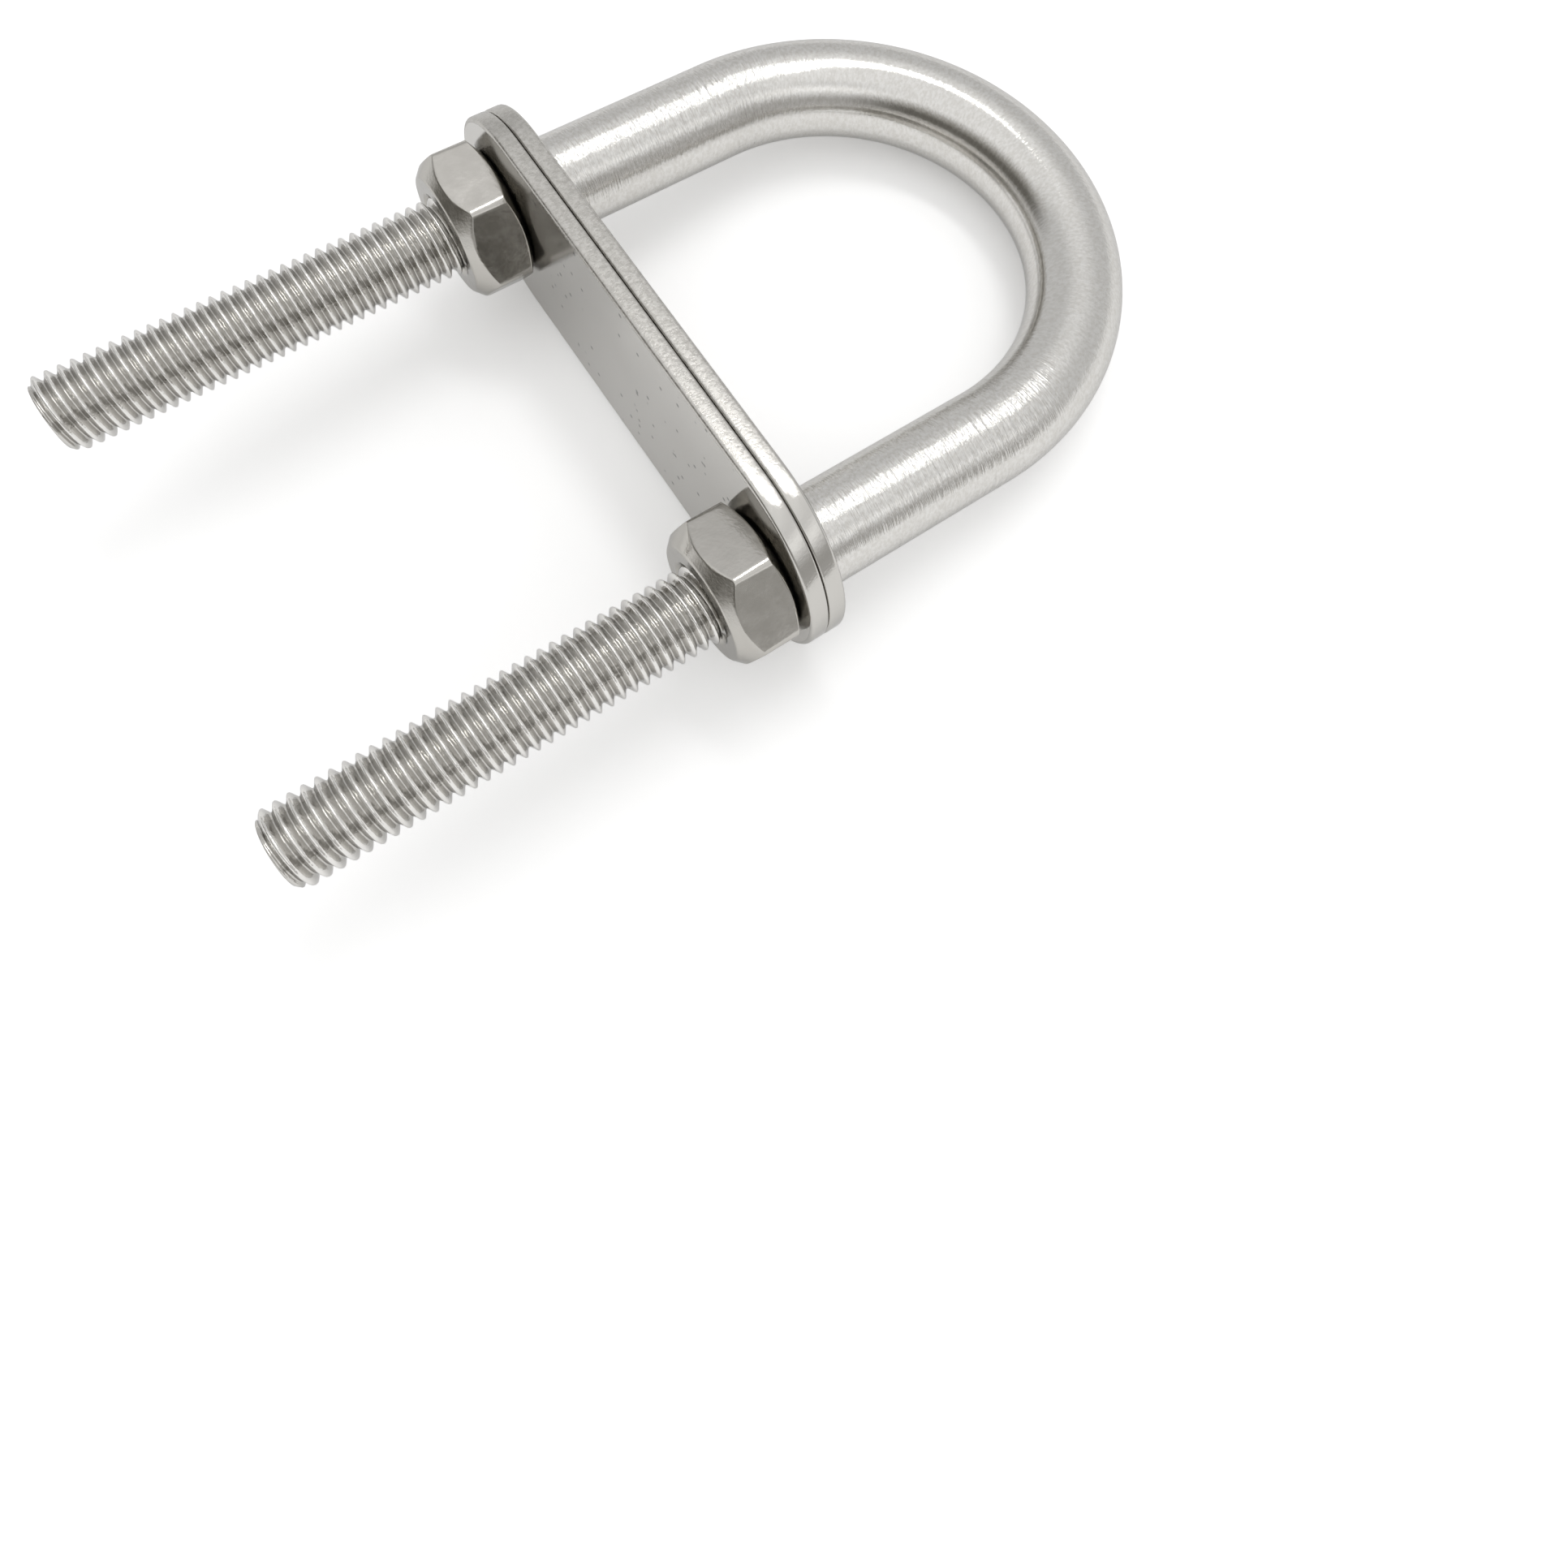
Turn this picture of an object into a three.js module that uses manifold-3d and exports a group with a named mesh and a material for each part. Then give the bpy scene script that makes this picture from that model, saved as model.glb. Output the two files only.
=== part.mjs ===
// Shouldered U-bolt with a deck plate, a backing plate and two hexagon nuts, all stainless steel.
//
// Frame, in millimetres: X runs along the legs, from the threaded tips (-X) to the bow (+X).
// Y runs across the legs, with the left leg at +Y and the right leg at -Y. Z is square to the
// plane of the U. The origin is the centre of the deck plate's outer face, the face that the
// bar's two shoulders seat on.

import * as THREE from "three";
import { mergeVertices } from "three/addons/utils/BufferGeometryUtils.js";
import Module from "manifold-3d";

// ---- Driving dimensions ---------------------------------------------------------------

const BAR_DIAMETER = 10;
const LEG_SPACING = 49.6;
const BOW_STRAIGHT = 22.7; // from the shoulders to the start of the half circle

// M8 x 1.25 right-hand thread, cut on legs that are turned down below the shoulders.
const THREAD_DIAMETER = 7.9;
const THREAD_CORE_DIAMETER = 6.5;
const THREAD_PITCH = 1.25;
const LEG_LENGTH = 52.5; // from the shoulders to the tips
const NECK_LENGTH = 2.2; // plain stretch between the shoulder and the thread
const TIP_CHAMFER = 1;

const PLATE_LENGTH = 66;
const PLATE_WIDTH = 23;
const PLATE_THICKNESS = 1.9;
const PLATE_HOLE_DIAMETER = 9;

const NUT_ACROSS_FLATS = 14;
const NUT_HEIGHT = 6.8;
const NUT_FACE_DIAMETER = 12.2; // flat ring left between the countersink and the chamfer
const NUT_CHAMFER_ANGLES = { tipSide: 45, plateSide: 32 }; // degrees from the flat ring
const COUNTERSINK_DIAMETER = 8.9;
const NUT_TURNS = { left: -24, right: 18.5 }; // degrees about +X, from a corner that faces +Z

const SEAT_GAP = 0.05; // between surfaces that bear on each other
const THREAD_CLEARANCE = 0.3; // radial, between the legs' thread and the nuts'

// ---- Facets ---------------------------------------------------------------------------

const BAR_SIDES = 28;
const BOW_STEPS = 38;
const TURN_STEPS = 12;
const LEG_SIDES = 24;
const NUT_SIDES = 48;
const HOLE_SIDES = 24;

// ---- Places worked out from the dimensions --------------------------------------------

const LEG_Y = LEG_SPACING / 2;
const BACKING_FACE_X = -2 * PLATE_THICKNESS - SEAT_GAP; // the backing plate's nut side
const NUT_CENTRE_X = BACKING_FACE_X - SEAT_GAP - NUT_HEIGHT / 2;
const THREAD_START_X = -LEG_LENGTH - THREAD_PITCH; // where the helices cross the +Y side

const wasm = await Module();
wasm.setup();

// ---- Solids and geometries ------------------------------------------------------------

function solidOf(geometry) {
  const bare = geometry.clone();
  bare.deleteAttribute("normal");
  bare.deleteAttribute("uv");
  const merged = mergeVertices(bare, 1e-4);
  return new wasm.Manifold(
    new wasm.Mesh({
      numProp: 3,
      vertProperties: merged.attributes.position.array,
      triVerts: new Uint32Array(merged.index.array),
    }),
  );
}

function geometryOf(solid) {
  const { vertProperties, triVerts } = solid.getMesh();
  const geometry = new THREE.BufferGeometry();
  geometry.setAttribute("position", new THREE.BufferAttribute(vertProperties, 3));
  geometry.setIndex(new THREE.BufferAttribute(triVerts, 1));
  const flat = geometry.toNonIndexed();
  flat.computeVertexNormals();
  return flat;
}

// A turned solid on the X axis, from its outline as [x, radius] points from -X to +X.
function turned(outline, sides) {
  const points = outline.map(([x, radius]) => new THREE.Vector2(radius, x));
  return new THREE.LatheGeometry(points, sides).rotateZ(-Math.PI / 2);
}

// A right-hand screw on the X axis with a V thread, from startX over a whole number of turns.
// The root line and the crest line are helices half a pitch apart. Each turn's crest is joined
// to the root on both sides of it, and a fan of triangles closes each end.
function screw(startX, turns, coreDiameter, diameter) {
  const last = turns * TURN_STEPS;
  const place = (step, offset, radius) => {
    const angle = (2 * Math.PI * step) / TURN_STEPS;
    const x = startX + (THREAD_PITCH * step) / TURN_STEPS + offset;
    return [x, radius * Math.cos(angle), radius * Math.sin(angle)];
  };
  const root = (step) => place(step, 0, coreDiameter / 2);
  const crest = (step) => place(step, THREAD_PITCH / 2, diameter / 2);
  const startCentre = [startX, 0, 0];
  const endCentre = [startX + THREAD_PITCH * turns, 0, 0];
  const corners = [];
  const triangle = (a, b, c) => corners.push(...a, ...b, ...c);
  const strip = (a, aNext, b, bNext) => {
    triangle(a, aNext, b);
    triangle(aNext, bNext, b);
  };
  for (let step = 0; step < last - TURN_STEPS; step++) {
    strip(root(step), root(step + 1), crest(step), crest(step + 1));
    strip(crest(step), crest(step + 1), root(step + TURN_STEPS), root(step + TURN_STEPS + 1));
  }
  for (let step = 0; step < TURN_STEPS; step++) {
    const top = last - TURN_STEPS + step;
    triangle(startCentre, root(step + 1), root(step));
    triangle(endCentre, root(top), root(top + 1));
  }
  triangle(startCentre, root(0), crest(0));
  triangle(startCentre, crest(0), root(TURN_STEPS));
  triangle(endCentre, root(last), crest(last - TURN_STEPS));
  triangle(endCentre, crest(last - TURN_STEPS), root(last - TURN_STEPS));
  const geometry = new THREE.BufferGeometry();
  return geometry.setAttribute("position", new THREE.Float32BufferAttribute(corners, 3));
}

// ---- U bar: bent bar, two shoulders, two threaded legs --------------------------------

// Centre line of the bent bar: up the left leg, round the half circle, down the right leg.
class BowPath extends THREE.Curve {
  getPoint(t, target = new THREE.Vector3()) {
    const arc = Math.PI * LEG_Y;
    const along = t * (2 * BOW_STRAIGHT + arc);
    if (along <= BOW_STRAIGHT) return target.set(along, LEG_Y, 0);
    if (along >= BOW_STRAIGHT + arc) {
      return target.set(2 * BOW_STRAIGHT + arc - along, -LEG_Y, 0);
    }
    const angle = (along - BOW_STRAIGHT) / LEG_Y;
    const x = BOW_STRAIGHT + LEG_Y * Math.sin(angle);
    return target.set(x, LEG_Y * Math.cos(angle), 0);
  }
}

function bentBar() {
  const section = new THREE.Shape().absarc(0, 0, BAR_DIAMETER / 2, 0, 2 * Math.PI);
  return new THREE.ExtrudeGeometry(section, {
    curveSegments: BAR_SIDES / 2,
    steps: BOW_STEPS,
    extrudePath: new BowPath(),
  }).translate(SEAT_GAP, 0, 0);
}

// One leg on the X axis: a threaded length with a chamfered tip, and a plain neck that runs
// up into the bar.
function threadedLeg() {
  const core = THREAD_CORE_DIAMETER / 2;
  const crest = THREAD_DIAMETER / 2 + SEAT_GAP;
  const neckX = -NECK_LENGTH;
  const blankOutline = [
    [-LEG_LENGTH, 0],
    [-LEG_LENGTH, crest - TIP_CHAMFER],
    [-LEG_LENGTH + TIP_CHAMFER, crest],
    [neckX - THREAD_PITCH, crest],
    [neckX, core - SEAT_GAP],
    [neckX, 0],
  ];
  const neckOutline = [
    [neckX - 2 * THREAD_PITCH, 0],
    [neckX - 2 * THREAD_PITCH, core - SEAT_GAP],
    [BAR_DIAMETER / 4, core - SEAT_GAP],
    [BAR_DIAMETER / 4, 0],
  ];
  const blank = solidOf(turned(blankOutline, LEG_SIDES));
  const neck = solidOf(turned(neckOutline, LEG_SIDES));
  const turns = Math.ceil(LEG_LENGTH / THREAD_PITCH) + 1;
  const thread = screw(THREAD_START_X, turns, THREAD_CORE_DIAMETER, THREAD_DIAMETER);
  return solidOf(thread).intersect(blank).add(neck);
}

function uBar() {
  const leg = threadedLeg();
  const left = leg.translate([0, LEG_Y, 0]);
  const right = leg.translate([0, -LEG_Y, 0]);
  return geometryOf(solidOf(bentBar()).add(left).add(right));
}

// ---- Plates: round-ended strips with two holes ----------------------------------------

// The face is laid out in three panels, so the stretch between the holes is a plain
// rectangle. Its two triangles are clear of what bears on the plate around the holes.
function plate() {
  const endRadius = PLATE_WIDTH / 2;
  const endCentre = PLATE_LENGTH / 2 - endRadius;
  const panelEdges = [-0.4 * endCentre, 0.5 * endCentre]; // uneven, so no diagonal meets the origin
  const arc = (centre, radius, from, to, steps) =>
    Array.from({ length: steps + 1 }, (_, i) => {
      const angle = from + ((to - from) * i) / steps;
      return new THREE.Vector2(centre + radius * Math.cos(angle), radius * Math.sin(angle));
    });
  const edge = (y) => [new THREE.Vector2(y, -endRadius), new THREE.Vector2(y, endRadius)];
  const hole = (centre) =>
    arc(centre, PLATE_HOLE_DIAMETER / 2, 0, 2 * Math.PI, HOLE_SIDES).slice(0, -1);
  const quarter = Math.PI / 2;
  const rightEnd = arc(-endCentre, endRadius, quarter, 3 * quarter, HOLE_SIDES);
  const leftEnd = arc(endCentre, endRadius, -quarter, quarter, HOLE_SIDES);
  const [rightLow, rightHigh] = edge(panelEdges[0]);
  const [leftLow, leftHigh] = edge(panelEdges[1]);
  const panels = [
    { outline: [...rightEnd, rightLow, rightHigh], holes: [hole(-LEG_Y)] },
    { outline: [rightLow, leftLow, leftHigh, rightHigh], holes: [] },
    { outline: [leftLow, ...leftEnd, leftHigh], holes: [hole(LEG_Y)] },
  ];
  const corners = [];
  const triangle = (a, b, c, ax, bx, cx) =>
    corners.push(ax, a.x, a.y, bx, b.x, b.y, cx, c.x, c.y);
  const wall = (loop) => {
    loop.forEach((a, i) => {
      const b = loop[(i + 1) % loop.length];
      triangle(a, b, b, 0, 0, 1);
      triangle(a, b, a, 0, 1, 1);
    });
  };
  for (const { outline, holes } of panels) {
    const points = [outline, ...holes].flat();
    for (const [a, b, c] of THREE.ShapeUtils.triangulateShape(outline, holes)) {
      triangle(points[a], points[b], points[c], 1, 1, 1);
      triangle(points[a], points[c], points[b], 0, 0, 0);
    }
  }
  wall([...rightEnd, rightLow, leftLow, ...leftEnd, leftHigh, rightHigh]);
  wall(hole(-LEG_Y).reverse());
  wall(hole(LEG_Y).reverse());
  const geometry = new THREE.BufferGeometry();
  geometry.setAttribute("position", new THREE.Float32BufferAttribute(corners, 3));
  geometry.scale(PLATE_THICKNESS, 1, 1);
  geometry.computeVertexNormals();
  return geometry;
}

// ---- Nuts: hexagon, chamfered both sides, tapped and countersunk ----------------------

function nut(turn) {
  const cornerRadius = NUT_ACROSS_FLATS / Math.sqrt(3);
  const half = NUT_HEIGHT / 2;
  const faceRadius = NUT_FACE_DIAMETER / 2;
  const overRadius = cornerRadius + SEAT_GAP;
  const chamferDepth = (degrees) =>
    (overRadius - faceRadius) * Math.tan(THREE.MathUtils.degToRad(degrees));
  const hexagon = new THREE.CylinderGeometry(cornerRadius, cornerRadius, NUT_HEIGHT, 6);
  hexagon.rotateZ(-Math.PI / 2).rotateX(THREE.MathUtils.degToRad(turn));
  const envelopeOutline = [
    [-half, 0],
    [-half, faceRadius],
    [chamferDepth(NUT_CHAMFER_ANGLES.tipSide) - half, overRadius],
    [half - chamferDepth(NUT_CHAMFER_ANGLES.plateSide), overRadius],
    [half, faceRadius],
    [half, 0],
  ];
  const mouth = COUNTERSINK_DIAMETER / 2;
  const sinkOutline = [
    [half - mouth, 0],
    [half + SEAT_GAP, mouth + SEAT_GAP],
    [half + SEAT_GAP, 0],
  ];
  // The tap starts a whole number of pitches along the legs' own helix, so the threads mesh.
  const pitchesIn = Math.floor((NUT_CENTRE_X - half - THREAD_START_X) / THREAD_PITCH) - 1;
  const tapStart = THREAD_START_X + pitchesIn * THREAD_PITCH - NUT_CENTRE_X;
  const tapTurns = Math.ceil(NUT_HEIGHT / THREAD_PITCH) + 4;
  const grow = 2 * THREAD_CLEARANCE;
  const tap = screw(tapStart, tapTurns, THREAD_CORE_DIAMETER + grow, THREAD_DIAMETER + grow);
  const sink = solidOf(turned(sinkOutline, LEG_SIDES));
  return geometryOf(
    solidOf(hexagon)
      .intersect(solidOf(turned(envelopeOutline, NUT_SIDES)))
      .subtract(solidOf(tap))
      .subtract(sink)
      .subtract(sink.rotate([0, 0, 180])),
  );
}

// ---- Assembly -------------------------------------------------------------------------

const steel = (color, roughness) =>
  new THREE.MeshStandardMaterial({ color, roughness, metalness: 1 });
const barSteel = steel(0xd6d4cf, 0.22);
const plateSteel = steel(0xc3c2bc, 0.35);
const nutSteel = steel(0xb9b6b0, 0.28);

function piece(name, geometry, material, position) {
  const mesh = new THREE.Mesh(geometry, material);
  mesh.name = name;
  mesh.position.set(...position);
  return mesh;
}

const uBolt = new THREE.Group();
uBolt.add(
  piece("u_bar", uBar(), barSteel, [0, 0, 0]),
  piece("deck_plate", plate(), plateSteel, [-PLATE_THICKNESS, 0, 0]),
  piece("backing_plate", plate(), plateSteel, [BACKING_FACE_X, 0, 0]),
  piece("left_nut", nut(NUT_TURNS.left), nutSteel, [NUT_CENTRE_X, LEG_Y, 0]),
  piece("right_nut", nut(NUT_TURNS.right), nutSteel, [NUT_CENTRE_X, -LEG_Y, 0]),
);

export default uBolt;
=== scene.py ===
"""Looks of a stainless steel U-bolt: its bent bar with threaded legs, two plates and two nuts.

Lengths are in millimetres in the row's frame, and meshes are scaled to metres as they are made.
X runs along the legs to the bow, Y across the legs, and Z square to the plane of the U.
"""

import math

import bmesh
import bpy
import numpy as np
from mathutils import Euler, Matrix, Vector
from mathutils.geometry import delaunay_2d_cdt


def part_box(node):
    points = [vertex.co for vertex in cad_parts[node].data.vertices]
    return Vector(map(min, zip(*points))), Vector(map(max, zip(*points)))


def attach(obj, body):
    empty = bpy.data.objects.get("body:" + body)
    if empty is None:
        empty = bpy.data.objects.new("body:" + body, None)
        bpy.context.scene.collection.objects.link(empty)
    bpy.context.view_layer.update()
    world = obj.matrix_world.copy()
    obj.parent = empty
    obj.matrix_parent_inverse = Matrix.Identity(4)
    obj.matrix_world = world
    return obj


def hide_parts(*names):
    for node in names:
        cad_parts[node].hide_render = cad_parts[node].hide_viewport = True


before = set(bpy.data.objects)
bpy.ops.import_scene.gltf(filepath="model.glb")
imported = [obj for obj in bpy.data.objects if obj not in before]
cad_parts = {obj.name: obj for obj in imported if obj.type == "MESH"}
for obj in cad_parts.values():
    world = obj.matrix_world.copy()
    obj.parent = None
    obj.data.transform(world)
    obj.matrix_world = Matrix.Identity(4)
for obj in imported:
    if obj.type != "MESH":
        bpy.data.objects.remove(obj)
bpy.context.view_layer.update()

MM = 0.001
WELD_REACH = 2e-7  # metres

# ---- Sizes taken from the frame ---------------------------------------------------------


def box_mm(node):
    low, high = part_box(node)
    return np.array(low) / MM, np.array(high) / MM


BAR_LOW, BAR_HIGH = box_mm("u_bar")
DECK_LOW, DECK_HIGH = box_mm("deck_plate")
BACKING_LOW, BACKING_HIGH = box_mm("backing_plate")

BAR_RADIUS = round((BAR_HIGH[2] - BAR_LOW[2]) / 2, 2)
LEG_Y = (BAR_HIGH[1] - BAR_LOW[1]) / 2 - BAR_RADIUS  # from the middle of the U to a leg's axis
BOW_START = BAR_HIGH[0] - BAR_RADIUS - LEG_Y  # where the straight bar turns into the half circle
TIP_X = BAR_LOW[0]

# ---- Sizes of the fine shapes -----------------------------------------------------------

SHOULDER_X = 0.05
SHOULDER_ROUND = 0.45
ROUND_STEPS = 6  # points on a rounded edge

PITCH = 1.25
CREST_RADIUS = 3.93
ROOT_RADIUS = 3.2
FLANK = (0.08, 0.88)  # where a flank starts and ends, between the root's middle and the crest's
FLANK_ROUNDING = 0.35
TIP_FACE_RADIUS = 3.25
TIP_CHAMFER_LENGTH = 0.75
TIP_DISH = ((0, 3.13), (0.12, 1.6), (0.16, 0.6))  # depth and radius of the tip's dished face
RUN_OUT = (-3.9, -2.4)  # where the thread fades into the plain neck
THREAD_PLAY = 0.12  # radial, between the nuts' thread and the legs'

DECK_ROUNDS = (0.3, 0.38)  # at the edges, on the nuts' side and on the bow's side
BACKING_ROUNDS = (0.42, 0.26)
HOLE_ROUNDS = (0.15, 0.15)
FLAT_STRIP = 0.04  # flat strip next to each rounded edge, to keep the faces' shading flat
PLATE_HOLE_RADIUS = 4.5

NUT_ACROSS_FLATS = 14
NUT_TURNS = {"left_nut": -24, "right_nut": 18.5}  # degrees about +X, from a corner that faces +Z
NUT_FACE_RADIUS = 6.1
NUT_CHAMFERS = (45, 32)  # degrees from the flat ring, on the tip side and on the plate side
NUT_CORNER_RADII = (8.0, 7.88)  # the worn corners, at the tip side and at the plate side
NUT_SOFTNESS = 0.07  # how gently one surface of the nut runs into the next
NUT_MOUTH_RADIUS = 4.45
SINK_DEPTH = 1.05
SINK_RADIUS = 3.42  # where the countersink meets the thread
THREAD_FADE = 0.3  # length over which the nuts' thread reaches its full depth

LEG_COLUMNS = 64
THREAD_ROWS = 12  # for each turn
BOW_STEPS = 96
STRAIGHT_ROWS = 9  # along each straight stretch of the bar
END_STEPS = 40  # round each end of a plate
SIDE_STEPS = 15  # along each straight side of a plate
HOLE_STEPS = 64


# ---- Meshes -----------------------------------------------------------------------------


class Shell:
    """Points and faces of one piece, collected grid by grid and welded at the end."""

    def __init__(self):
        self.points = []
        self.faces = []
        self.finishes = []

    def add(self, points, faces, finish=0):
        first = len(self.points)
        self.points.extend(map(tuple, points))
        self.faces.extend(tuple(first + i for i in face) for face in faces)
        self.finishes.extend([finish] * len(faces))

    def rings(self, rings, finish=0):
        """Joins closed rings of equally many points, each to the next."""
        count = len(rings[0])
        faces = []
        for row in range(len(rings) - 1):
            for i in range(count):
                a, b = row * count + i, row * count + (i + 1) % count
                faces.append((a, b, b + count, a + count))
        self.add(np.concatenate(rings), faces, finish)

    def cap(self, ring, finish=0):
        """Closes a ring with a fan round its middle."""
        ring = np.array(ring)
        count = len(ring)
        fan = [(i, (i + 1) % count, count) for i in range(count)]
        self.add(np.vstack([ring, ring.mean(0)]), fan, finish)

    def build(self, name, materials):
        mesh = bpy.data.meshes.new(name)
        mesh.from_pydata([Vector(p) * MM for p in self.points], [], self.faces)
        for material in materials:
            mesh.materials.append(material)
        mesh.polygons.foreach_set("material_index", self.finishes)
        work = bmesh.new()
        work.from_mesh(mesh)
        bmesh.ops.remove_doubles(work, verts=work.verts, dist=WELD_REACH)
        bmesh.ops.recalc_face_normals(work, faces=work.faces)
        work.to_mesh(mesh)
        work.free()
        mesh.shade_smooth()
        piece = bpy.data.objects.new(name, mesh)
        bpy.context.scene.collection.objects.link(piece)
        return piece


def turned_ring(x, radius, angles, y=0.0):
    """A ring of points about an axis along X."""
    radius = np.broadcast_to(radius, angles.shape)
    return np.stack(
        [np.broadcast_to(x, angles.shape), y + radius * np.cos(angles), radius * np.sin(angles)], 1
    )


def thread_radius(phase):
    """Radius of the legs' thread over one pitch: rounded root at 0, rounded crest at one half."""
    climb = 1 - np.abs(2 * (phase % 1) - 1)
    flank = np.clip((climb - FLANK[0]) / (FLANK[1] - FLANK[0]), 0, 1)
    rounded = 0.5 - 0.5 * np.cos(np.pi * flank)
    rise = (1 - FLANK_ROUNDING) * flank + FLANK_ROUNDING * rounded
    return ROOT_RADIUS + (CREST_RADIUS - ROOT_RADIUS) * rise


def thread(shell, start, end, angles, radius_at, y, finish):
    """Adds a threaded surface from start to end, whose rows of points follow the helix.

    Rows that reach past an end are held at it, so both ends are closed rings of len(angles)
    points. After a full turn a row meets the row one pitch further on.
    """
    turns = angles / (2 * np.pi)
    first = math.floor((start / PITCH - turns.max()) * THREAD_ROWS) - THREAD_ROWS - 1
    last = math.ceil((end / PITCH - turns.min()) * THREAD_ROWS) + THREAD_ROWS + 1
    rows = np.arange(first, last + 1)[:, None]
    x = np.clip(PITCH * (rows / THREAD_ROWS + turns), start, end)
    radius = radius_at(x, x / PITCH - turns)
    points = np.stack([x, y + radius * np.cos(angles), radius * np.sin(angles)], -1)
    count = len(angles)
    faces = []
    for row in range(len(rows) - 1):
        for i in range(count - 1):
            a = row * count + i
            faces.append((a, a + 1, a + 1 + count, a + count))
    for row in range(len(rows) - 1 - THREAD_ROWS):
        a, b = row * count + count - 1, (row + THREAD_ROWS) * count
        faces.append((a, b, b + count, a + count))
    shell.add(points.reshape(-1, 3), faces, finish)


# ---- Bent bar with threaded legs --------------------------------------------------------


def leg_radius(x, phase):
    """The thread, cut back by the tip's chamfer and fading out towards the neck."""
    fade = np.clip((x - RUN_OUT[0]) / (RUN_OUT[1] - RUN_OUT[0]), 0, 1)
    fade = fade * fade * (3 - 2 * fade)
    radius = thread_radius(phase) * (1 - fade) + ROOT_RADIUS * fade
    slope = (CREST_RADIUS - TIP_FACE_RADIUS) / TIP_CHAMFER_LENGTH
    return np.minimum(radius, TIP_FACE_RADIUS + slope * (x - TIP_X))


def leg(shell, y):
    angles = np.arange(LEG_COLUMNS) * 2 * np.pi / LEG_COLUMNS
    thread(shell, TIP_X, RUN_OUT[1], angles, leg_radius, y, finish=1)
    face = [turned_ring(TIP_X, TIP_FACE_RADIUS, angles, y)]
    face += [turned_ring(TIP_X + depth, radius, angles, y) for depth, radius in TIP_DISH]
    shell.rings(face, finish=1)
    shell.cap(face[-1], finish=1)
    quarter = np.linspace(0, np.pi / 2, ROUND_STEPS)
    centre = SHOULDER_X + SHOULDER_ROUND
    shoulder = [
        turned_ring(
            centre - SHOULDER_ROUND * math.cos(a),
            BAR_RADIUS - SHOULDER_ROUND + SHOULDER_ROUND * math.sin(a),
            angles,
            y,
        )
        for a in quarter
    ]
    neck = [turned_ring(x, ROOT_RADIUS, angles, y) for x in (RUN_OUT[1], SHOULDER_X)]
    shell.rings(neck, finish=1)
    shell.rings([neck[-1], *shoulder], finish=0)


def bow(shell):
    """The bent bar, from one shoulder's edge round to the other's."""
    angles = np.arange(LEG_COLUMNS) * 2 * np.pi / LEG_COLUMNS
    straight = np.linspace(SHOULDER_X + SHOULDER_ROUND, BOW_START, STRAIGHT_ROWS)
    section_out = np.cos(angles) * BAR_RADIUS
    section_up = np.sin(angles) * BAR_RADIUS
    rings = []
    for x in straight[:-1]:
        rings.append(np.stack([0 * angles + x, LEG_Y + section_out, section_up], 1))
    for turn in np.linspace(0, np.pi, BOW_STEPS + 1):
        reach = LEG_Y + section_out
        x, y = BOW_START + reach * math.sin(turn), reach * math.cos(turn)
        rings.append(np.stack([x, y, section_up], 1))
    for x in straight[-2::-1]:
        rings.append(np.stack([0 * angles + x, -LEG_Y - section_out, section_up], 1))
    shell.rings(rings)


def u_bar(materials):
    shell = Shell()
    bow(shell)
    leg(shell, LEG_Y)
    leg(shell, -LEG_Y)
    return shell.build("bent_bar", materials)


# ---- Plates -----------------------------------------------------------------------------


def stadium(inset, length, width):
    """Outline of a round-ended strip, moved in by inset."""
    radius = width / 2 - inset
    centre = length / 2 - width / 2
    side = np.linspace(-1, 1, SIDE_STEPS)[1:-1] * centre
    right = np.linspace(-np.pi / 2, np.pi / 2, END_STEPS + 1)
    left = right + np.pi
    outline = [(centre + radius * math.cos(a), radius * math.sin(a)) for a in right]
    outline += [(-y, radius) for y in side]
    outline += [(-centre + radius * math.cos(a), radius * math.sin(a)) for a in left]
    outline += [(y, -radius) for y in side]
    return np.array(outline)


def circle(centre, radius):
    angles = np.arange(HOLE_STEPS) * 2 * np.pi / HOLE_STEPS
    return np.stack([centre + radius * np.cos(angles), radius * np.sin(angles)], 1)


def edge_wall(shell, outline_at, low, high, rounds, finish):
    """Wall between two faces with a rounded edge to each.

    outline_at(inset) gives the wall's outline, and rounds the two edges' radii.
    """
    path = []
    for x, sign, size in ((low, 1, rounds[0]), (high, -1, rounds[1])):
        corner = [(size + FLAT_STRIP, x)]
        for a in np.linspace(0, np.pi / 2, ROUND_STEPS):
            corner.append((size * (1 - math.sin(a)), x + sign * size * (1 - math.cos(a))))
        path += corner if sign > 0 else corner[::-1]
    rings = []
    for inset, x in path:
        outline = outline_at(inset)
        rings.append(np.column_stack([np.full(len(outline), x), outline]))
    shell.rings(rings, finish)
    return path[0][0], path[-1][0]


def plate_face(shell, x, loops, holes, finish):
    """The flat face at x inside the first loop, without what lies inside the others."""
    points = np.concatenate(loops)
    edges = []
    first = 0
    for loop in loops:
        count = len(loop)
        edges += [(first + i, first + (i + 1) % count) for i in range(count)]
        first += count
    found = delaunay_2d_cdt([Vector(p) for p in points], edges, [], 1, 1e-6)
    corners = np.array([tuple(p) for p in found[0]])
    kept = []
    for face in found[2]:
        middle = corners[list(face)].mean(0)
        if all(math.hypot(middle[0] - y, middle[1]) > radius for y, radius in holes):
            kept.append(face)
    shell.add(np.column_stack([np.full(len(corners), x), corners]), kept, finish)


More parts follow.
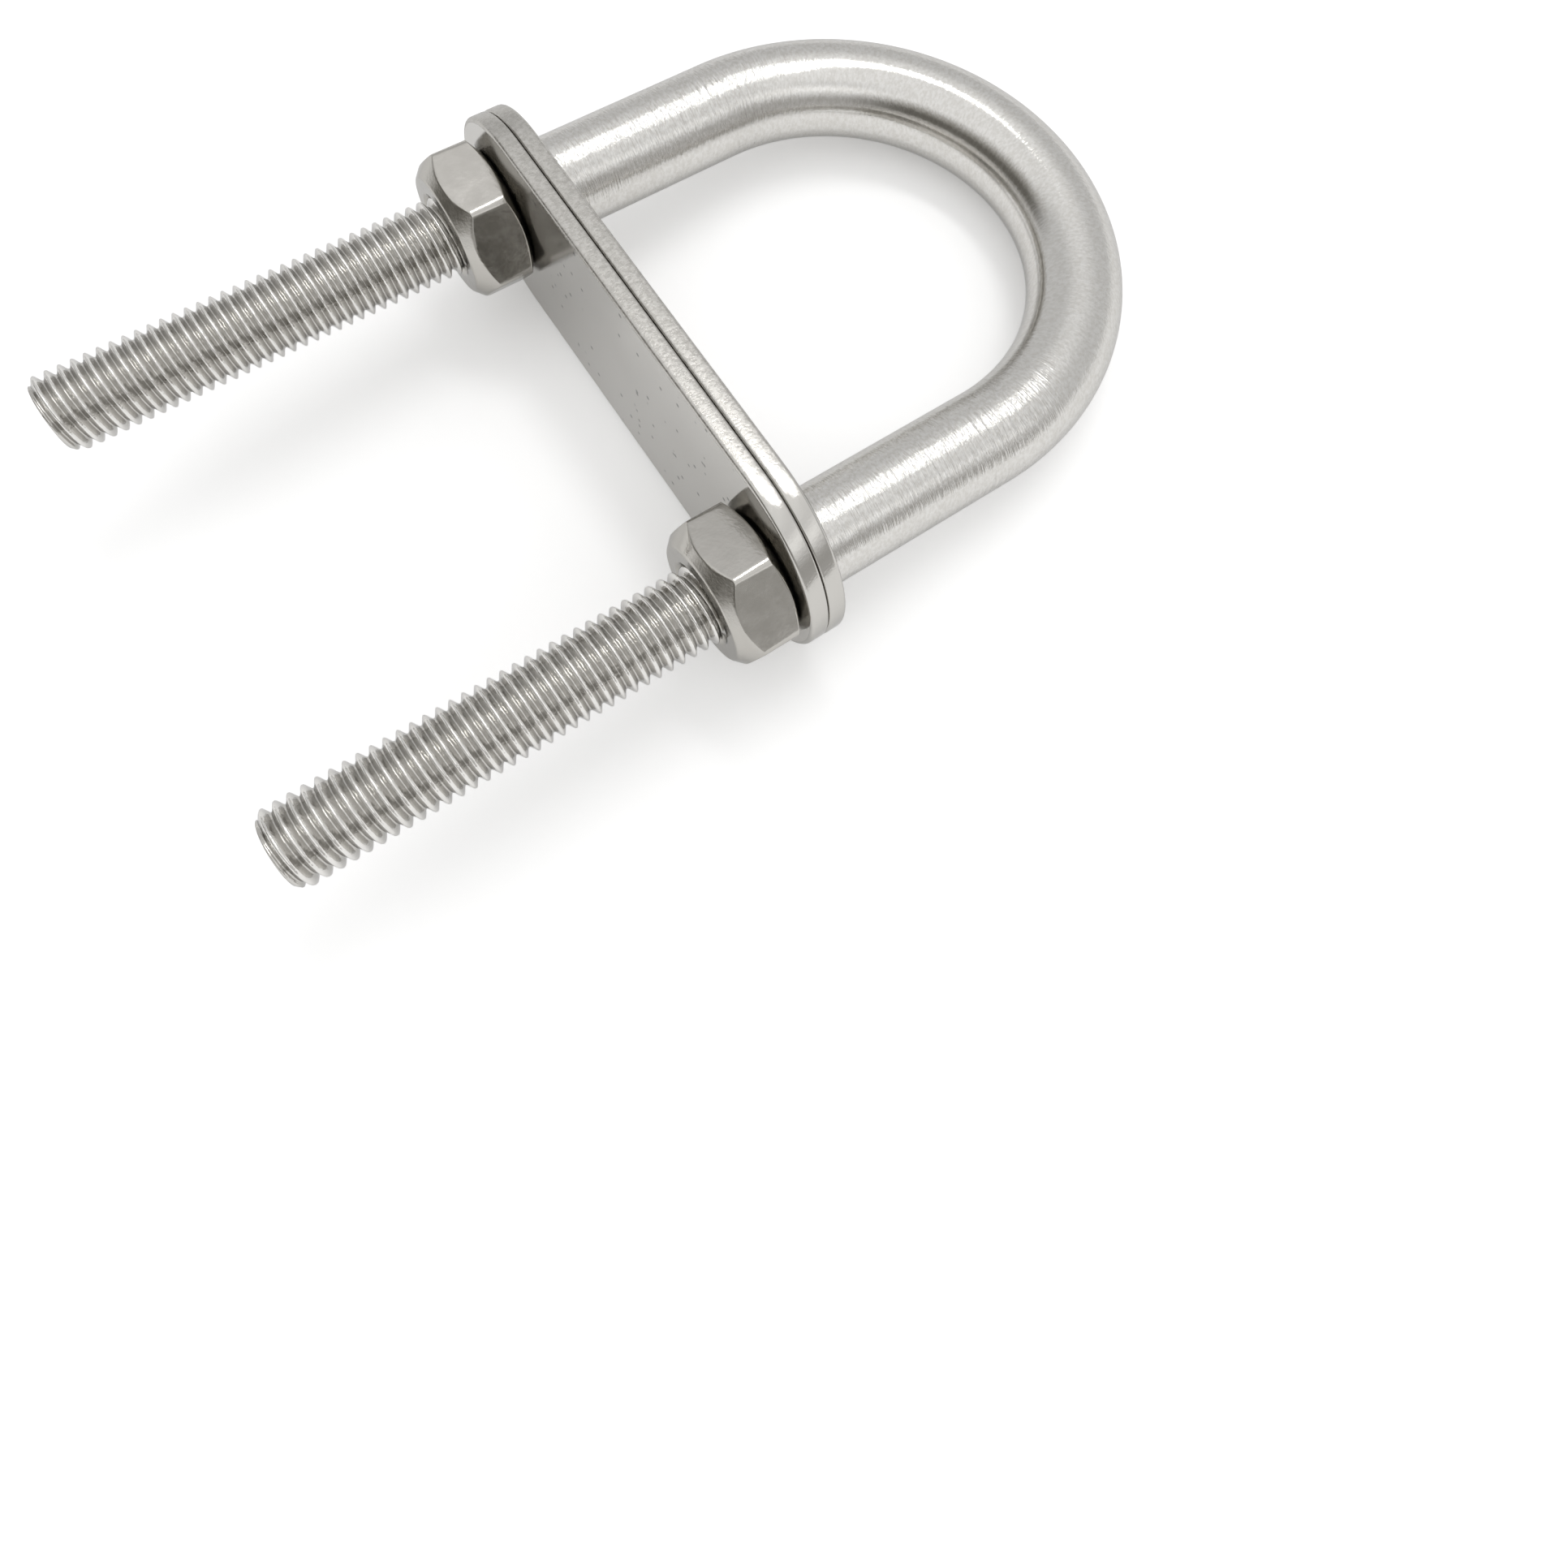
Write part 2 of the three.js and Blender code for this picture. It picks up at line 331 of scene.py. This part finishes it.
def plate(name, low, high, rounds, materials):
    shell = Shell()
    length, width = high[1] - low[1], high[2] - low[2]

    def outline(inset):
        return stadium(inset, length, width)

    insets = edge_wall(shell, outline, low[0], high[0], rounds, finish=1)
    for y in (LEG_Y, -LEG_Y):
        hole_insets = edge_wall(
            shell,
            lambda inset, y=y: circle(y, PLATE_HOLE_RADIUS + inset),
            low[0],
            high[0],
            HOLE_ROUNDS,
            finish=1,
        )
    for side, x in enumerate((low[0], high[0])):
        radius = PLATE_HOLE_RADIUS + hole_insets[side]
        loops = [outline(insets[side]), circle(LEG_Y, radius), circle(-LEG_Y, radius)]
        plate_face(shell, x, loops, [(y, radius - FLAT_STRIP / 4) for y in (LEG_Y, -LEG_Y)], 0)
    return shell.build(name, materials)


# ---- Nuts -------------------------------------------------------------------------------


def soft_min(a, b, softness):
    share = np.clip(0.5 + 0.5 * (b - a) / softness, 0, 1)
    return b * (1 - share) + a * share - softness * share * (1 - share)


def nut_angles(turn):
    """Angles round the nut, closer together near its six corners."""
    half = np.array([0, 6, 12, 17, 20, 22, 23.5, 25, 26, 27, 28, 28.8, 29.4])
    sector = np.concatenate([half, [30], 60 - half[:0:-1]])
    flats = turn + 120 + 60 * np.arange(6)  # directions that the flats face
    return np.radians((flats[:, None] + sector).ravel())


def nut_outside(depth, height, angles, turn):
    """Radius of the nut's outside at a depth from its tip side: hexagon, corners, chamfers."""
    from_corner = (np.degrees(angles) - turn - 90) % 60
    from_flat = np.radians(np.abs(from_corner - 30))
    flat = NUT_ACROSS_FLATS / 2 / np.cos(from_flat)
    share = depth / height
    corner = NUT_CORNER_RADII[0] * (1 - share) + NUT_CORNER_RADII[1] * share
    tip_cone = NUT_FACE_RADIUS + depth / math.tan(math.radians(NUT_CHAMFERS[0]))
    plate_cone = NUT_FACE_RADIUS + (height - depth) / math.tan(math.radians(NUT_CHAMFERS[1]))
    radius = soft_min(flat, corner, NUT_SOFTNESS)
    radius = soft_min(radius, tip_cone, NUT_SOFTNESS)
    return soft_min(radius, plate_cone, NUT_SOFTNESS)


def nut(node, materials):
    low, high = box_mm(node)
    y = (low[1] + high[1]) / 2
    height = high[0] - low[0]
    turn = NUT_TURNS[node]
    angles = nut_angles(turn)
    shell = Shell()
    near_tip = np.linspace(0.12, 2.3, 36)  # close rows where the chamfers curve across the flats
    near_plate = height - np.linspace(1.4, 0.12, 24)
    depths = np.concatenate([near_tip, np.linspace(2.7, height - 1.8, 4), near_plate])
    outside = [
        turned_ring(low[0] + depth, nut_outside(depth, height, angles, turn), angles, y)
        for depth in depths
    ]
    mouth = NUT_MOUTH_RADIUS
    # Depth and radius of each ring, from the thread out over the countersink to the flat ring.
    face = [(SINK_DEPTH, SINK_RADIUS), (0.2, mouth - 0.25), (0.06, mouth - 0.08), (0, mouth + 0.05)]
    face += [(0, mouth + 0.1), (0, NUT_FACE_RADIUS - 0.2), (0, NUT_FACE_RADIUS - 0.12)]
    face += [(0.012, NUT_FACE_RADIUS - 0.05), (0.05, NUT_FACE_RADIUS + 0.02)]
    tip_side = [turned_ring(low[0] + depth, radius, angles, y) for depth, radius in face]
    plate_side = [turned_ring(high[0] - depth, radius, angles, y) for depth, radius in face]
    shell.rings([*tip_side, *outside, *plate_side[::-1]])

    bore = (low[0] + SINK_DEPTH, high[0] - SINK_DEPTH)

    def bore_radius(x, phase):
        """Thread that runs into the plain countersinks at both ends."""
        edge = np.clip(np.minimum(x - bore[0], bore[1] - x) / THREAD_FADE, 0, 1)
        return SINK_RADIUS * (1 - edge) + (thread_radius(phase) + THREAD_PLAY) * edge

    thread(shell, bore[0], bore[1], angles, bore_radius, y, finish=0)
    return shell.build(node.replace("_nut", "_hex_nut"), materials)


# ---- Materials --------------------------------------------------------------------------


class Nodes:
    """Short calls for adding nodes to a node tree."""

    def __init__(self, tree):
        self.tree = tree
        tree.nodes.clear()

    def add(self, kind, inputs=None, **settings):
        node = self.tree.nodes.new("ShaderNode" + kind)
        for key, value in settings.items():
            setattr(node, key, value)
        for key, value in (inputs or {}).items():
            self.feed(node.inputs[key], value)
        return node

    def feed(self, socket, value):
        if isinstance(value, bpy.types.NodeSocket):
            self.tree.links.new(value, socket)
        else:
            socket.default_value = value

    def math(self, operation, *values):
        node = self.add("Math", operation=operation)
        for socket, value in zip(node.inputs, values):
            self.feed(socket, value)
        return node.outputs[0]

    def step(self, value, low, high, to_low=0.0, to_high=1.0):
        inputs = {"Value": value, "From Min": low, "From Max": high}
        inputs |= {"To Min": to_low, "To Max": to_high}
        return self.add("MapRange", inputs, interpolation_type="SMOOTHSTEP").outputs[0]

    def noise(self, vector, scale, detail=2.0, roughness=0.5):
        inputs = {"Vector": vector, "Scale": scale, "Detail": detail, "Roughness": roughness}
        return self.add("TexNoise", inputs).outputs["Fac"]

    def dot(self, a, b):
        return self.add("VectorMath", {0: a, 1: b}, operation="DOT_PRODUCT").outputs["Value"]

    def ramp(self, value, stops):
        """A colour ramp through stops of (place, level, warmth)."""
        node = self.add("ValToRGB", {"Fac": value})
        elements = node.color_ramp.elements
        while len(elements) < len(stops):
            elements.new(1.0)
        for element, (place, level, warmth) in zip(elements, stops):
            element.position = place
            element.color = grey(level, warmth)
        return node.outputs["Color"]

    def vector(self, x, y, z):
        return self.add("CombineXYZ", {"X": x, "Y": y, "Z": z}).outputs[0]

    def stretched(self, vector, scale):
        return self.add("VectorMath", {0: vector, 1: scale}, operation="MULTIPLY").outputs[0]

    def mix(self, share, low, high):
        node = self.add("Mix", data_type="RGBA")
        self.feed(node.inputs["Factor"], share)
        self.feed(node.inputs["A"], low)
        self.feed(node.inputs["B"], high)
        return node.outputs["Result"]

    def bump(self, height, distance, strength=1.0, normal=None):
        inputs = {"Height": height, "Distance": distance, "Strength": strength}
        if normal is not None:
            inputs["Normal"] = normal
        return self.add("Bump", inputs).outputs["Normal"]


def grey(level, warmth=0.0):
    """A near-neutral colour: warmth lowers blue, and lifts red a little."""
    return (level * (1 + 0.5 * warmth), level, level * (1 - warmth), 1.0)


def new_material(name):
    material = bpy.data.materials.new(name)
    material.use_nodes = True
    return material, Nodes(material.node_tree)


def finish_steel(n, colour, roughness, normal):
    inputs = {"Base Color": colour, "Roughness": roughness, "Normal": normal}
    shader = n.add("BsdfPrincipled", inputs)
    shader.inputs["Metallic"].default_value = 1.0
    shader.inputs["Specular Tint"].default_value = grey(0.66)
    output = n.add("OutputMaterial")
    n.tree.links.new(shader.outputs[0], output.inputs["Surface"])


def specks(n, place, cell, radius):
    """1 in small round specks, about one in four cells of that size, and 0 elsewhere."""
    cells = n.add("TexVoronoi", {"Vector": place, "Scale": 1 / cell, "Randomness": 1.0})
    chance = n.add("SeparateXYZ", {0: cells.outputs["Color"]}).outputs[0]
    chosen = n.math("GREATER_THAN", chance, 0.75)
    near = n.step(cells.outputs["Distance"], radius / cell, 0.5 * radius / cell)
    return n.math("MULTIPLY", chosen, near)


def bar_place(n):
    """Where a point lies on the bar: how far along it, how far out from its axis, how high."""
    place = n.add("SeparateXYZ", {0: n.add("TexCoord").outputs["Object"]})
    x, y, z = place.outputs
    past = n.math("MAXIMUM", n.math("SUBTRACT", x, BOW_START * MM), 0.0)
    side = n.math("ABSOLUTE", y)
    squares = n.math("ADD", n.math("MULTIPLY", past, past), n.math("MULTIPLY", side, side))
    reach = n.math("SQRT", squares)
    out = n.math("SUBTRACT", reach, LEG_Y * MM)
    turn = n.math("ARCTAN2", past, side)
    arc = n.math("MULTIPLY", turn, LEG_Y * MM)
    along = n.math("ADD", n.math("MINIMUM", x, BOW_START * MM), arc)
    return along, out, z, past


def bar_steel():
    """Satin bar with fine scratches across it, mottled where the bend stretched it."""
    material, n = new_material("bar_steel")
    along, out, up, past = bar_place(n)
    wrapped = n.vector(along, out, up)
    straight = n.step(past, 0.012, 0.0)
    scratches = n.noise(n.stretched(wrapped, (4200, 330, 330)), 1.0, 3.0, 0.65)
    combs = n.noise(n.stretched(wrapped, (2200, 170, 170)), 1.0, 3.0, 0.6)
    peel = n.noise(n.stretched(wrapped, (3000, 2100, 2100)), 1.0, 3.0, 0.6)
    clouds = n.noise(wrapped, 110, 2.0, 0.5)
    marks = specks(n, wrapped, 0.006, 0.0003)
    outer = n.math("MULTIPLY", n.step(out, -0.003, 0.003), n.step(past, 0.0, 0.014))
    base = n.step(clouds, 0.35, 0.65, 0.09, 0.15)
    roughness = n.math("ADD", base, n.math("MULTIPLY", outer, 0.14))
    colour = n.mix(n.step(peel, 0.3, 0.7), grey(0.56, 0.05), grey(0.65, 0.03))
    colour = n.mix(n.math("MULTIPLY", marks, 0.7), colour, grey(0.14, 0.1))
    comb_depth = n.math("ADD", n.math("MULTIPLY", straight, 2.4), 0.15)
    lines = n.math("ADD", n.math("MULTIPLY", scratches, 0.5), n.math("MULTIPLY", combs, 0.5))
    normal = n.bump(n.math("MULTIPLY", lines, comb_depth), 0.00007)
    peel_depth = n.math("ADD", n.math("MULTIPLY", outer, 0.9), 0.4)
    normal = n.bump(n.math("MULTIPLY", peel, peel_depth), 0.000026, normal=normal)
    finish_steel(n, colour, roughness, normal)
    return material


def thread_steel():
    """Rolled thread, its colour lighter on the crests and darker down in the roots: painted
    highlight and painted shade.
    """
    material, n = new_material("thread_steel")
    place = n.add("TexCoord").outputs["Object"]
    x, y, z = n.add("SeparateXYZ", {0: place}).outputs
    across = n.math("SUBTRACT", n.math("ABSOLUTE", y), LEG_Y * MM)
    squares = n.math("ADD", n.math("MULTIPLY", across, across), n.math("MULTIPLY", z, z))
    radius = n.math("SQRT", squares)
    rise = n.step(radius, ROOT_RADIUS * MM, CREST_RADIUS * MM)
    clouds = n.noise(place, 400, 3.0, 0.6)
    # Painted shade: the colour darkens from the crests down into the thread's roots, with a lighter
    # painted highlight on the crests.
    colour = n.mix(rise, grey(0.5, 0.05), grey(0.74, 0.03))
    colour = n.mix(n.step(clouds, 0.3, 0.75, 0.0, 0.3), colour, grey(0.55, 0.05))
    roughness = n.step(clouds, 0.3, 0.7, 0.07, 0.15)
    grain = n.noise(place, 2600, 3.0, 0.6)
    waves = n.noise(place, 900, 2.0, 0.5)
    finish_steel(n, colour, roughness, n.bump(waves, 0.00007, normal=n.bump(grain, 0.00004)))
    return material


def plate_face_steel():
    """Smooth satin face with a few tiny pits."""
    material, n = new_material("plate_face_steel")
    place = n.add("TexCoord").outputs["Object"]
    grain = n.noise(place, 2600, 3.0, 0.6)
    clouds = n.noise(place, 90, 3.0, 0.5)
    pits = specks(n, place, 0.0018, 0.0003)
    colour = n.mix(clouds, grey(0.63, 0.05), grey(0.69, 0.04))
    colour = n.mix(n.math("MULTIPLY", pits, 0.75), colour, grey(0.16, 0.05))
    roughness = n.step(clouds, 0.3, 0.7, 0.11, 0.16)
    normal = n.bump(grain, 0.000005)
    finish_steel(n, colour, roughness, n.bump(pits, 0.00005, -1.0, normal))
    return material


def plate_edge_steel():
    """Tumbled edge with a fine grain, polished smooth round the right end."""
    material, n = new_material("plate_edge_steel")
    place = n.add("TexCoord").outputs["Object"]
    y = n.add("SeparateXYZ", {0: place}).outputs["Y"]
    polish = n.step(y, -0.019, -0.027)
    rough = n.math("SUBTRACT", 1.0, n.math("MULTIPLY", polish, 0.55))
    grain = n.noise(place, 4200, 3.0, 0.65)
    mottle = n.noise(place, 2000, 3.0, 0.6)
    colour = n.mix(n.step(mottle, 0.3, 0.7), grey(0.44, 0.06), grey(0.53, 0.05))
    colour = n.mix(polish, colour, grey(0.52, 0.05))
    roughness = n.math("MULTIPLY", rough, n.step(mottle, 0.3, 0.7, 0.22, 0.32))
    normal = n.bump(n.math("MULTIPLY", grain, rough), 0.000016)
    normal = n.bump(n.math("MULTIPLY", mottle, rough), 0.000018, normal=normal)
    finish_steel(n, colour, roughness, normal)
    return material


def nut_steel():
    """Smooth cold-formed nut with faint scratches and slight waviness."""
    material, n = new_material("nut_steel")
    place = n.add("TexCoord").outputs["Object"]
    grain = n.noise(place, 3000, 2.0, 0.6)
    waves = n.noise(place, 260, 2.0, 0.5)
    clouds = n.noise(place, 600, 3.0, 0.6)
    colour = n.mix(clouds, grey(0.43, 0.07), grey(0.49, 0.06))
    roughness = n.step(clouds, 0.3, 0.7, 0.12, 0.22)
    normal = n.bump(grain, 0.000012)
    finish_steel(n, colour, roughness, n.bump(waves, 0.00005, normal=normal))
    return material


# ---- Floor, light and camera ------------------------------------------------------------

FLOOR_SIZE = 4.0  # metres
TABLE_GLOW = 0.2

# The main light: a long narrow softbox overhead.
KEY_PLACE = (0.2, 0.09, 0.69)
KEY_ALONG = (-0.27, 0.96, 0)
KEY_SIZE = (0.43, 0.1)
KEY_POWER = 0.85

# Brightness of the tent as (height above the table, level, warmth), on its two open sides.
FRONT_LEVELS = (
    (0.0, 0.6, 0.02),
    (0.3, 0.5, 0.03),
    (0.4, 0.6, 0.02),
    (0.54, 1.0, 0.0),
    (0.66, 1.4, 0.0),
    (0.8, 0.95, 0.0),
    (0.92, 1.15, 0.0),
)
LEFT_LEVELS = (
    (0.0, 1.0, 0.0),
    (0.1, 0.6, 0.03),
    (0.25, 0.16, 0.1),
    (0.4, 0.16, 0.1),
    (0.52, 0.4, 0.06),
    (0.72, 1.1, 0.0),
)

CAMERA_PLACE = (-31.5, -59.4, 96.3)
CAMERA_TURN = (21.31, -3.33, -33.98)  # degrees
CAMERA_LENS = 25.8
CAMERA_SHIFT_Y = -0.0963


def floor():
    """A pale table. The loose part lies on it with the plates' long edges and its bow."""
    edge = Vector((DECK_HIGH[0], 0, DECK_LOW[2]))
    reach = BOW_START + LEG_Y - edge[0]
    tilt = math.acos(BAR_RADIUS / math.hypot(reach, edge[2])) - math.atan2(reach, -edge[2])
    half = FLOOR_SIZE / 2
    mesh = bpy.data.meshes.new("table")
    corners = [(-half, -half, 0), (half, -half, 0), (half, half, 0), (-half, half, 0)]
    mesh.from_pydata(corners, [], [(0, 1, 2, 3)])
    table = bpy.data.objects.new("table", mesh)
    table.matrix_world = Matrix.Translation(edge * MM) @ Matrix.Rotation(-tilt, 4, "Y")
    bpy.context.scene.collection.objects.link(table)
    material, n = new_material("table_white")
    paper = n.add("BsdfDiffuse", {"Color": grey(0.92)})
    glow = n.add("Emission", {"Color": grey(1.0), "Strength": TABLE_GLOW})
    shader = n.add("AddShader", {0: paper.outputs[0], 1: glow.outputs[0]})
    output = n.add("OutputMaterial")
    n.tree.links.new(shader.outputs[0], output.inputs["Surface"])
    mesh.materials.append(material)


def key_light():
    light = bpy.data.lights.new("key", "AREA")
    light.shape = "ELLIPSE"
    light.size, light.size_y = KEY_SIZE
    light.energy = KEY_POWER
    lamp = bpy.data.objects.new("key", light)
    back = Vector(KEY_PLACE).normalized()
    across = back.cross(Vector(KEY_ALONG)).normalized()
    turn = Matrix((across.cross(back), across, back)).transposed()
    lamp.matrix_world = Matrix.Translation(KEY_PLACE) @ turn.to_4x4()
    bpy.context.scene.collection.objects.link(lamp)


def surroundings():
    """A white tent, open low down on the front left, where a dim room shows above the table."""
    world = bpy.data.worlds.new("studio")
    bpy.context.scene.world = world
    world.use_nodes = True
    n = Nodes(world.node_tree)
    way = n.add("TexCoord").outputs["Generated"]
    height = n.add("SeparateXYZ", {0: way}).outputs["Z"]
    back = n.step(height, 0.6, 0.85, 0.74, 1.05)
    to_left = n.step(n.dot(way, (-0.75, 0.66, 0)), -0.3, 0.4)
    opening = n.mix(to_left, n.ramp(height, FRONT_LEVELS), n.ramp(height, LEFT_LEVELS))
    glow = n.mix(n.step(n.dot(way, (-0.8, -0.6, 0)), -0.35, 0.1), back, opening)
    seen = n.add("LightPath").outputs["Is Camera Ray"]
    shown = n.mix(seen, glow, grey(1.0))
    background = n.add("Background", {"Color": shown, "Strength": 1.0})
    output = n.add("OutputWorld")
    n.tree.links.new(background.outputs[0], output.inputs["Surface"])


def camera():
    data = bpy.data.cameras.new("camera")
    data.lens = CAMERA_LENS
    data.sensor_width = 36
    data.shift_y = CAMERA_SHIFT_Y
    data.clip_start = 0.005
    view = bpy.data.objects.new("camera", data)
    view.location = Vector(CAMERA_PLACE) * MM
    view.rotation_euler = Euler([math.radians(a) for a in CAMERA_TURN])
    bpy.context.scene.collection.objects.link(view)
    bpy.context.scene.camera = view


# ---- The scene --------------------------------------------------------------------------

camera()
floor()
key_light()
surroundings()
bpy.context.scene.view_settings.view_transform = "Standard"

plate_finishes = [plate_face_steel(), plate_edge_steel()]
nut_finish = nut_steel()
pieces = [
    (u_bar([bar_steel(), thread_steel()]), "bar", "u_bar", "bar_steel"),
    (
        plate("deck_strip", DECK_LOW, DECK_HIGH, DECK_ROUNDS, plate_finishes),
        "bar",
        "deck_plate",
        "plate_steel",
    ),
    (
        plate("backing_strip", BACKING_LOW, BACKING_HIGH, BACKING_ROUNDS, plate_finishes),
        "backing",
        "backing_plate",
        "plate_steel",
    ),
    (nut("left_nut", [nut_finish]), "left_nut", "left_nut", "nut_steel"),
    (nut("right_nut", [nut_finish]), "right_nut", "right_nut", "nut_steel"),
]
for piece, body, node, slot in pieces:
    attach(piece, body)
    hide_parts(node)
